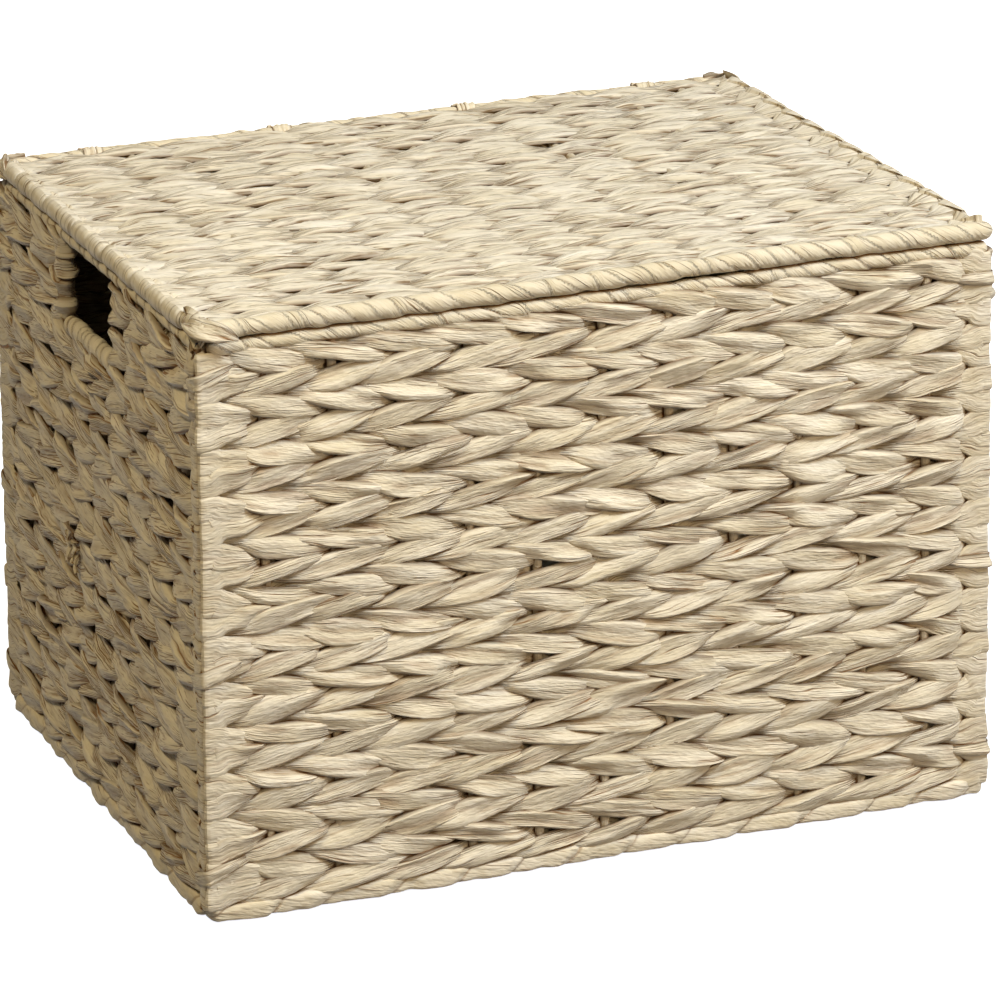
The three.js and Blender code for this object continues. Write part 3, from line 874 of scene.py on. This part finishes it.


# A strand wound round an edge rod: narrow turns that overlap, with a deeper step at some of them and a
# painted shade line beside each
rimWinding = {
    "turnPitch": 15,  # mm from seam to seam
    "strands": 2,  # wound side by side
    "unevenPitch": 0.6,
    "overlap": 0.12,
    "deepStep": 1.2,
    "deepShare": 0.25,
    "lumps": 0.12,
    "lumpRings": 9,
    "edge": 2.0,  # mm over which a strand's edge falls to the one below
    "seam": 0.9,  # mm, half the width of the painted shade line beside it
    "seamShade": 1.4,
    "sway": 0.5,  # mm
    "swayRings": 60,
    "cornerRound": 0,  # mm over which its ends bend in
    "leansBack": False,
    "ringStep": 0.95,
    "around": 28,
}
# The body's side rims are wound closer
closeWinding = dict(rimWinding, edge=1.5, strands=1, turnPitch=14, overlap=0.2, deepStep=1.0, deepShare=0.4,
                    lumps=0.1)


def woundRod(rng, panel, fromA, toA, c, n, radius, look):
    count = int((toA - fromA) / look["ringStep"])
    a = np.linspace(fromA, toA, count)
    turns = int((toA - fromA) / look["turnPitch"]) + 4 + look["strands"]
    pitches = look["turnPitch"] * (1 + look["unevenPitch"] * rng.uniform(-1, 1, turns))
    starts = fromA - look["turnPitch"] * (look["strands"] + 0.5) + np.concatenate([[0], np.cumsum(pitches)])
    number = np.interp(a, starts, np.arange(len(starts)))
    turn = np.arange(look["around"]) * tau / look["around"]
    around = turn / tau if look["leansBack"] else 1 - turn / tau
    wound = number[:, None] + look["strands"] * around[None, :]
    own = np.floor(wound).astype(int)
    share = wound - own
    steps = np.where(rng.uniform(0, 1, turns + 8) < look["deepShare"], look["deepStep"], look["overlap"])
    steps = steps * rng.uniform(0.5, 1.1, len(steps))
    tints = rng.uniform(0, 1, turns + 8)
    edge = min(0.4, look["edge"] / look["turnPitch"])
    rise = np.where(share < 1 - edge, share, (1 - edge) * (1 - share) / edge)
    bulge = steps[own] * (rise - 0.6) + 0.2 * np.sin(math.pi * share)
    lump = 1 + look["lumps"] * smoothNoise(rng, count, look["lumpRings"])[:, None]
    fromEnd = np.minimum(a - fromA, toA - a)
    dome = np.sqrt(np.clip(1 - (1 - fromEnd / radius).clip(0, 1) ** 2, 0.02, 1))[:, None]
    size = (radius * lump + bulge) * dome
    over = np.clip((look["cornerRound"] - fromEnd) / max(look["cornerRound"], 1), 0, 1)
    inward = look["cornerRound"] * 0.75 * (1 - np.sqrt(1 - over**2))
    centre = inPanel(panel, a, c + look["sway"] * smoothNoise(rng, count, look["swayRings"]), n - inward)
    down = np.broadcast_to(-np.asarray(panel["c"], float), centre.shape)
    grid = tube(rng, centre, down, size, a)
    # a painted shade line beside each deeper step, carried as fold shade
    seam = np.exp(-((np.minimum(share, 1 - share) * look["turnPitch"] / look["seam"]) ** 2))
    deep = smoothStep((steps[own] / look["deepStep"] - 0.1) / 0.6)
    grid["grain"][..., 0] = turn[None, :] * radius + 31 * own
    grid["grain"][..., 1] = share * look["turnPitch"]
    grid["shadeAndTint"][..., 1] = tints[own]
    grid["shadeAndTint"][..., 2] = look["seamShade"] * seam * deep
    return grid


# How far each stops short of the trunk's corners, and how much it is moved out, raised and fattened,
# in mm
rimDrop = 0.9  # the body's rims lie lower than their rods' wraps
frontRim = {"halfLength": halfWidth, "insets": (8.5, 2.5), "out": 0.2, "fatter": 0.3, "look": rimWinding}
sideRim = {"halfLength": halfDepth, "insets": (9.5, 9.5), "out": 0.2, "fatter": -0.3, "look": closeWinding}
rims = {"front": frontRim, "back": dict(frontRim, insets=(8.5, 8.5)), "left": sideRim, "right": sideRim}
lidWinding = dict(rimWinding, cornerRound=6)
lidRims = {
    "front": {"insets": (4, 1), "up": 0.8, "out": 0.9, "fatter": 0.9},
    "back": {"insets": (10, 3), "up": -0.9, "out": 0.6, "fatter": 0.1},
}


def addRims():
    rng = np.random.default_rng(21)
    for side, rim in rims.items():
        fromA, toA = -rim["halfLength"] + rim["insets"][0], rim["halfLength"] - rim["insets"][1]
        grid = woundRod(rng, panels[side], fromA, toA, rimMiddle - rimDrop, rim["out"],
                        rimRadius + rim["fatter"], rim["look"])
        meshFrom(f"{side}_rim_winding", [grid], woundCordMaterial, "trunk_body",
                 [f"{side}_top_rim_wrap"])
    for side, rim in lidRims.items():
        fromA, toA = -halfWidth + rim["insets"][0], halfWidth - rim["insets"][1]
        grid = woundRod(rng, panels[side], fromA, toA, lidMiddle + rim["up"], rim["out"],
                        lidRimRadius + rim["fatter"], lidWinding)
        meshFrom(f"lid_{side}_winding", [grid], woundCordMaterial, "lid",
                 [f"lid_{side}_edge_wrap"])
    print("rims wound")


addRims()


sillWinding = dict(rimWinding, turnPitch=10, unevenPitch=0.5, overlap=0.5, deepStep=1.5, deepShare=0.4)
sillPlace = {"past": 1, "thinner": 0.2}  # mm past the jambs on each side


def addSills():
    rng = np.random.default_rng(31)
    for side in ("left", "right"):
        hole = walls[side]["hole"]
        fromA, toA = hole["start"] - sillPlace["past"], hole["end"] + sillPlace["past"]
        radius = gripSill - sillMiddle - sillPlace["thinner"]
        grid = woundRod(rng, panels[side], fromA, toA, sillMiddle, 0, radius, sillWinding)
        meshFrom(f"{side}_sill_winding", [grid], paperCordMaterial, "trunk_body",
                 [f"{side}_grip_wrap"])
    print("sills wound")


addSills()


# The bottom edge: a fat strand round the two lowest rods, pinched at each stake, with flat leaves
# laid over it
bottomLow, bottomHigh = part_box("front_bottom_rim_wrap")
bottomEdge = {
    "depth": (bottomHigh.y - bottomLow.y) / mm,
    "height": 11.4,
    "pinch": 0.1,
    "pinchReach": 4.0,
    "square": 4.2,  # how boxy its section is
    "fibreLean": 0.2,
    "insets": {"front": 2.0, "back": 2.0, "left": 14.0, "right": 14.0},  # from the trunk's corners
    "winding": dict(rimWinding, strands=1, turnPitch=34, unevenPitch=0.35, overlap=1.2, deepStep=1.8,
                    deepShare=0.4, lumps=0.08, edge=6, around=36, leansBack=True),
}


def boundEdge(rng, panel, end, stakes):
    halfHigh = bottomEdge["height"] / 2
    halfDeep = bottomEdge["depth"] / 2
    grid = woundRod(rng, panel, -end, end, halfHigh, 0, halfHigh, bottomEdge["winding"])
    points = grid["points"]
    a = points @ np.asarray(panel["a"], float)
    gap = np.abs(a[..., None] - stakes).min(-1)
    size = 1 - bottomEdge["pinch"] * np.exp(-((gap / bottomEdge["pinchReach"]) ** 2))
    outward = np.asarray(panel["n"], float)
    out = (points - np.asarray(panel["origin"], float)) @ outward
    up = points[..., 2] - halfHigh
    share = np.hypot(out, up) / halfHigh
    angle = np.arctan2(up, out)
    power = bottomEdge["square"]
    square = (np.abs(np.cos(angle)) ** power + np.abs(np.sin(angle)) ** power) ** (-1 / power)
    newOut = share * square * np.cos(angle) * halfDeep * size + wallMiddle - halfDeep
    newUp = share * square * np.sin(angle) * halfHigh * size
    grid["points"] = points + (newOut - out)[..., None] * outward
    grid["points"][..., 2] = np.maximum(halfHigh + newUp, standing["lowest"])
    # its fibres run along the edge
    grid["grain"][..., 0] = a
    grid["grain"][..., 1] = angle * halfHigh + bottomEdge["fibreLean"] * a
    return grid


def addBottomEdges():
    rng = np.random.default_rng(41)
    for side in ("front", "back", "left", "right"):
        end = walls[side]["halfLength"] - bottomEdge["insets"][side]
        grid = boundEdge(rng, panels[side], end, walls[side]["stakes"])
        meshFrom(f"{side}_bottom_binding", [grid], paperCordMaterial, "trunk_body",
                 [f"{side}_bottom_rim_wrap"])
    print("bottom edges bound")


addBottomEdges()


def splineThrough(points, count, closed=True):
    # a smooth curve through the points, evenly stepped
    points = np.asarray(points, float)
    if closed:
        points = np.concatenate([points[-1:], points, points[:2]])
    else:
        points = np.concatenate([points[:1], points, points[-1:]])
    pieces = []
    t = np.linspace(0, 1, 24, endpoint=False)[:, None]
    for i in range(1, len(points) - 2):
        p0, p1, p2, p3 = points[i - 1 : i + 3]
        pieces.append(0.5 * (2 * p1 + (p2 - p0) * t + (2 * p0 - 5 * p1 + 4 * p2 - p3) * t**2
                             + (3 * p1 - p0 - 3 * p2 + p3) * t**3))
    dense = np.concatenate(pieces + [points[1:2] if closed else points[-2:-1]])
    run = lengthAlong(dense[:, :3])
    even = np.linspace(0, run[-1], count, endpoint=not closed)
    return np.stack([np.interp(even, run, values) for values in dense.T], 1), even


def lengthAlong(path):
    return np.concatenate([[0], np.cumsum(np.linalg.norm(np.diff(path, axis=0), axis=1))])


# Ties through both walls at a corner: (along one wall, along the other, half width), from the
# corner of the trunk
cornerTie = {
    "halfThick": 0.7,
    "slope": 0.34,  # rise per mm along the wall, ahead of the corner on the front and back
    "rightSlope": 0.3,  # share of it on the right side
    "rings": 90,
    "unevenWidth": 0.1,
    "outside": [(27, 4.5, 1.2), (22, 1.6, 2.6), (13, -0.3, 4.0), (5, -0.4, 4.4), (1.0, 0.6, 4.4),
                (-0.2, 5, 4.4), (-0.1, 13, 4.0), (1.6, 22, 2.6), (4.5, 27, 1.2)],
    "inside": [(9, 24, 2.5), (12.8, 18, 4.5), (13.2, 13.2, 4.5), (18, 12.8, 4.5), (24, 9, 2.5)],
}


def addCornerTies():
    rng = np.random.default_rng(51)
    corners = {"front_left": (-1, -1), "front_right": (1, -1), "back_right": (1, 1), "back_left": (-1, 1)}
    for corner, (sideX, sideY) in corners.items():
        for level in ("low", "middle", "high"):
            node = f"corner_tie_{corner}_{level}"
            low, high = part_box(node)
            height = (low.z + high.z) / 2 / mm
            slope = cornerTie["slope"] * rng.uniform(0.4, 1.0)
            slope *= 1 if sideX < 0 else cornerTie["rightSlope"]
            points = [(sideX * (halfWidth - x), sideY * (halfDepth - y), height + slope * (x - y), wide)
                      for x, y, wide in cornerTie["outside"] + cornerTie["inside"]]
            if sideX * sideY < 0:
                points = points[::-1]
            path, along = splineThrough(points, cornerTie["rings"])
            centre = path[:, :3]
            upward = np.broadcast_to([0.0, 0.0, 1.0], centre.shape)
            wide = path[:, 3] * (1 + cornerTie["unevenWidth"] * smoothNoise(rng, len(centre), 20))
            # painted shade where the tie narrows going into the walls
            tuck = 0.5 * (1 - smoothStep((wide - 1.0) / 2.5))
            grid = strandSurface(rng, centre, upward, wide, cornerTie["halfThick"], True, along, tuck,
                                 rng.uniform(0, 1), foldScale=0.5, ringStep=1.2, edgeShade=0.6)
            meshFrom(f"{corner}_corner_tie_{level}", [grid], paperCordMaterial, "trunk_body",
                     [node])
    print("corners tied")


addCornerTies()


def freeStrand(rng, rows, halfThick):
    # a strand laid through places, each with its half width and the way its face looks
    points = [(*place, wide, *facing) for place, wide, facing in rows]
    path, along = splineThrough(points, 6 * len(rows), closed=False)
    centre = path[:, :3]
    across = np.cross(unit(path[:, 4:]), unit(np.gradient(centre, axis=0)))
    return strandSurface(rng, centre, across, path[:, 3], halfThick, False, along, 0.0, rng.uniform(0, 1),
                         foldScale=0.7, ringStep=1.5, edgeShade=0.7)


# Strands folded over the lid's corners, in mm from the middle of the trunk: place, half width and
# the way it faces
lidCornerFolds = {
    "front_left": [
        ((-236.0, -158, lidMiddle - 1.0), 1.6, (-0.8, 0, 0.6)),
        ((-237.0, -169, lidMiddle + 2.2), 5.0, (-0.75, -0.1, 0.65)),
        ((-235.5, -179.5, lidMiddle + 2.8), 6.4, (-0.6, -0.4, 0.7)),
        ((-230.5, -186.0, lidMiddle + 2.4), 6.2, (-0.35, -0.75, 0.55)),
        ((-224, -189.0, lidMiddle + 0.8), 4.6, (-0.15, -0.95, 0.2)),
        ((-217.5, -190.0, lidMiddle - 1.8), 1.2, (-0.1, -1, 0.0)),
    ],
    "back_left": [
        ((-221, 177.0, lidMiddle + 4.0), 1.0, (0, 0.15, 1)),
        ((-228.5, 178.0, lidMiddle + 4.0), 2.8, (-0.1, 0.3, 1)),
        ((-234.5, 178.5, lidMiddle + 2.2), 6.4, (-0.45, 0.65, 0.6)),
        ((-237.5, 173, lidMiddle + 1.6), 7.0, (-0.7, 0.45, 0.5)),
        ((-238.8, 164.5, lidMiddle + 1.0), 5.8, (-0.9, 0.1, 0.4)),
        ((-238.0, 155, lidMiddle - 1.5), 2.0, (-0.95, 0, 0.1)),
    ],
}


def mirrored(rows):
    # the same strand at the other end of the trunk
    return [((-x, y, z), wide, (-a, b, c)) for (x, y, z), wide, (a, b, c) in rows[::-1]]


def addLidCorners():
    rng = np.random.default_rng(71)
    folds = [*lidCornerFolds.values(), mirrored(lidCornerFolds["back_left"])]
    grids = [freeStrand(rng, rows, 1.5) for rows in folds]
    meshFrom("lid_corner_folds", grids, paperCordMaterial, "lid")
    print("lid corners folded")


addLidCorners()


# Frayed ends of a strand that shows on the left wall: where, how far they spread and how long they
# are, in mm
frayedEnds = {"place": (-241.5, 36, 150), "spread": (5, 9), "length": 11, "halfWidth": 1.5,
              "halfThick": 0.4, "bend": 0.4, "count": 9}


def addFrayedEnds():
    rng = np.random.default_rng(81)
    grids = []
    for _ in range(frayedEnds["count"]):
        start = np.array(frayedEnds["place"]) + [0, *(rng.uniform(-1, 1, 2) * frayedEnds["spread"])]
        heading = rng.uniform(0, tau)
        along = np.array([0, math.cos(heading), math.sin(heading)])
        bend = rng.uniform(-1, 1) * frayedEnds["bend"] * np.array([0, -math.sin(heading), math.cos(heading)])
        tip = -1.6 - rng.uniform(0, 2)
        rows = []
        for share, lift, wide in ((0, 2.5, 0.5), (0.3, -0.6, 1.0), (0.6, -2.2, 0.9), (1, tip, 0.25)):
            place = start + (along + bend * share) * share * frayedEnds["length"] + [lift, 0, 0]
            rows.append((tuple(place), frayedEnds["halfWidth"] * wide, (-1, *rng.uniform(-0.5, 0.5, 2))))
        grids.append(freeStrand(rng, rows, frayedEnds["halfThick"]))
    meshFrom("left_frayed_ends", grids, woundCordMaterial, "trunk_body")
    print("loose ends frayed")


addFrayedEnds()


# Hinge lashings: strand wound four times round the lid's back rod and the body's back rim
hingeLashing = {
    "turns": 4,
    "ringsPerTurn": 44,
    "halfWidth": 2.2,
    "halfThick": 0.5,
    "clear": 0.6,  # mm outside the windings
    "out": 0.4,
    "past": 0.4,  # mm past the ends of its node
}


def addHingeLashings():
    rng = np.random.default_rng(61)
    for place in ("outer_left", "inner_left", "inner_right", "outer_right"):
        node = f"hinge_lashing_{place}"
        low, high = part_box(node)
        rings = hingeLashing["ringsPerTurn"] * hingeLashing["turns"]
        angle = np.linspace(0, tau * hingeLashing["turns"], rings)
        onLid = smoothStep(np.cos(angle) * 4 + 0.5)
        radius = rimRadius + hingeLashing["clear"] + (lidRimRadius - rimRadius) * onLid
        y = halfDepth - wallMiddle + hingeLashing["out"] + radius * np.sin(angle)
        z = rimMiddle - rimDrop + (lidMiddle - rimMiddle) * onLid + radius * np.cos(angle)
        half = (high.x - low.x) / 2 / mm - hingeLashing["halfWidth"] + hingeLashing["past"]
        x = (low.x + high.x) / 2 / mm + half * (2 * angle / angle[-1] - 1)
        centre = np.stack([x, y, z], 1)
        across = np.broadcast_to([1.0, 0.0, 0.0], centre.shape)
        grid = strandSurface(rng, centre, across, hingeLashing["halfWidth"], hingeLashing["halfThick"],
                             False, lengthAlong(centre), 0.0, rng.uniform(0, 1), foldScale=0.5, ringStep=1.0)
        meshFrom(f"lashing_{place}", [grid], paperCordMaterial, "trunk_body", [node])
    print("lid lashed on")


addHingeLashings()


# Camera: where the photographer stood, from the corners of the trunk in the picture
view = {
    "azimuth": 21.99,  # degrees
    "pitch": 19.61,
    "roll": -0.53,
    "distance": 3.27,  # m
    "right": 7.9,  # mm
    "up": 148.7,
    "lens": 195.5,
}


def addCamera():
    azimuth, pitch, roll = [math.radians(view[key]) for key in ("azimuth", "pitch", "roll")]
    level = np.array([math.sin(azimuth), math.cos(azimuth), 0])
    look = level * math.cos(pitch) - np.array([0, 0, math.sin(pitch)])
    right = np.array([math.cos(azimuth), -math.sin(azimuth), 0])
    up = np.cross(right, look)
    right, up = right * math.cos(roll) + up * math.sin(roll), up * math.cos(roll) - right * math.sin(roll)
    data = bpy.data.cameras.new("camera")
    data.lens = view["lens"]
    data.sensor_width = 36
    data.clip_end = 50
    camera = bpy.data.objects.new("camera", data)
    bpy.context.scene.collection.objects.link(camera)
    place = -look * view["distance"] + right * view["right"] * mm + up * view["up"] * mm
    turn = np.stack([right, up, -look], 1)
    camera.matrix_world = Matrix.Translation(place.tolist()) @ Matrix(turn.tolist()).to_4x4()
    bpy.context.scene.camera = camera
    print("camera placed")


addCamera()


# A warm low lamp in front, a strong cool one above it, one over the left wall and a weak one behind.
# Places and sizes in m, power in watts
lights = {
    "keyLight": {"place": (0.8, -2.5, 1.3), "aim": (0, -0.1, 0.15),
                 "size": 1.2, "power": 23.2, "colour": "#ffe4bb"},
    "highLight": {"place": (0.9, -1.5, 2.4), "aim": (0, -0.1, 0.15),
                  "size": 1.0, "power": 72, "colour": "#e0efff"},
    "sideLight": {"place": (-1.5, -0.9, 2.3), "aim": (-0.2, 0, 0.15),
                  "size": 0.5, "power": 24, "colour": "#ffecbc"},
    "backLight": {"place": (0.6, 2.6, 0.8), "aim": (0, 0.1, 0.15),
                  "size": 1.2, "power": 12, "colour": "#fff0d6"},
}


def addLight(name, light):
    data = bpy.data.lights.new(name, "AREA")
    data.shape = "DISK"
    data.size = light["size"]
    data.energy = light["power"]
    data.color = linear(light["colour"])[:3]
    lamp = bpy.data.objects.new(name, data)
    bpy.context.scene.collection.objects.link(lamp)
    lamp.location = light["place"]
    aim = Vector(light["aim"]) - Vector(light["place"])
    lamp.rotation_euler = aim.to_track_quat("-Z", "Y").to_euler()


for name, light in lights.items():
    addLight(name, light)


# Light from all round, softer from below than from above
ambient = {"above": 0.155, "below": 0.035, "colour": "#ffecca"}


def addAmbient():
    world = bpy.data.worlds.new("studio")
    world.use_nodes = True
    tree = world.node_tree
    tree.nodes.clear()
    direction = addNode(tree, "TexCoord", {}, {}, "Generated")
    upward = addNode(tree, "SeparateXYZ", {}, {"Vector": direction}, "Z")
    strength = addNode(tree, "MapRange", {}, {
        "Value": upward, "From Min": -0.1, "From Max": 0.1,
        "To Min": ambient["below"], "To Max": ambient["above"],
    }, "Result")
    background = addNode(tree, "Background", {}, {
        "Color": linear(ambient["colour"]), "Strength": strength,
    }, "Background")
    addNode(tree, "OutputWorld", {}, {"Surface": background})
    bpy.context.scene.world = world
    bpy.context.scene.view_settings.view_transform = "Standard"


addAmbient()


# A matt pale floor with a cool glow of its own, which keeps it near white round the trunk's shadow
floorLook = {"halfSize": 6, "colour": "#fbfbfb", "roughness": 0.9, "glow": "#f4f8ff", "glowStrength": 0.95}


def addFloor():
    size = floorLook["halfSize"]
    mesh = bpy.data.meshes.new("floor")
    corners = [(-size, -size, 0), (size, -size, 0), (size, size, 0), (-size, size, 0)]
    mesh.from_pydata(corners, [], [(0, 1, 2, 3)])
    floor = bpy.data.objects.new("floor", mesh)
    bpy.context.scene.collection.objects.link(floor)
    material, tree = newMaterial("paleFloor")
    shader = addNode(tree, "BsdfPrincipled", {}, {
        "Base Color": linear(floorLook["colour"]), "Roughness": floorLook["roughness"],
        "Emission Color": linear(floorLook["glow"]), "Emission Strength": floorLook["glowStrength"],
    }, "BSDF")
    addNode(tree, "OutputMaterial", {}, {"Surface": shader})
    mesh.materials.append(material)
    floor.visible_diffuse = False


addFloor()
print("lights and floor placed")
